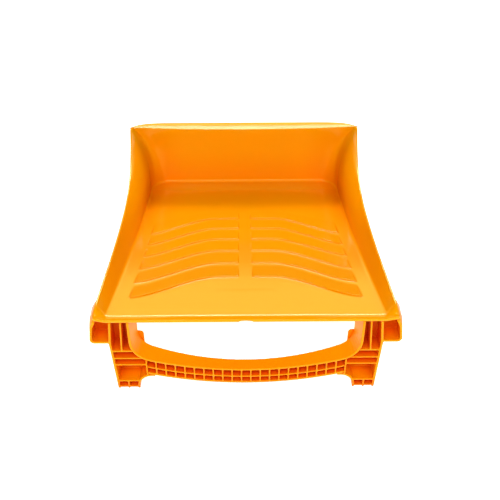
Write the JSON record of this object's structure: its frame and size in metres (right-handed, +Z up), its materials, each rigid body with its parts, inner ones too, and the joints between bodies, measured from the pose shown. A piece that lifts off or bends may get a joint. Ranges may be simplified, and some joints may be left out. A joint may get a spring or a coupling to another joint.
{
  "type": "paint roller tray",
  "caption": "Deep paint roller tray with a ribbed sloping ramp, flared side walls, a tall back wall, two front legs and a carrying grip under the front edge.",
  "frame": {"origin": "centre of the tray's footprint, on the ground that it stands on", "axes": "+X to the right seen from the front edge, +Y from the front edge to the deep end, +Z up"},
  "size_m": [0.3536, 0.4794, 0.1056],
  "materials": {
    "moulding": "gloss"
  },
  "bodies": {
    "root": {"ramp_panel": "moulding", "well_floor": "moulding", "left_side_wall": "moulding", "right_side_wall": "moulding", "left_rear_corner": "moulding", "right_rear_corner": "moulding", "back_wall": "moulding", "back_ledge": "moulding", "front_lip": "moulding", "label_panel": "moulding", "left_ramp_rib_1": "moulding", "left_ramp_rib_2": "moulding", "left_ramp_rib_3": "moulding", "left_ramp_rib_4": "moulding", "left_ramp_rib_5": "moulding", "left_ramp_rib_6": "moulding", "right_ramp_rib_1": "moulding", "right_ramp_rib_2": "moulding", "right_ramp_rib_3": "moulding", "right_ramp_rib_4": "moulding", "right_ramp_rib_5": "moulding", "right_ramp_rib_6": "moulding", "grip_band": "moulding", "grip_web": "moulding", "grip_mid_rib": "moulding", "grip_bottom_flange": "moulding", "grip_cross_ribs": "moulding", "left_leg_outer_wall": "moulding", "left_leg_back": "moulding", "left_leg_arch": "moulding", "left_leg_sole": "moulding", "left_leg_upper_rib": "moulding", "left_leg_end_plate": "moulding", "left_leg_shelf_1": "moulding", "left_leg_shelf_2": "moulding", "left_leg_shelf_3": "moulding", "left_leg_shelf_4": "moulding", "left_foot_rib": "moulding", "left_gusset": "moulding", "left_skirt": "moulding", "left_box_floor": "moulding", "left_box_back": "moulding", "right_leg_outer_wall": "moulding", "right_leg_back": "moulding", "right_leg_arch": "moulding", "right_leg_sole": "moulding", "right_leg_upper_rib": "moulding", "right_leg_end_plate": "moulding", "right_leg_shelf_1": "moulding", "right_leg_shelf_2": "moulding", "right_leg_shelf_3": "moulding", "right_leg_shelf_4": "moulding", "right_foot_rib": "moulding", "right_gusset": "moulding", "right_skirt": "moulding", "right_box_floor": "moulding", "right_box_back": "moulding"}
  },
  "joints": []
}
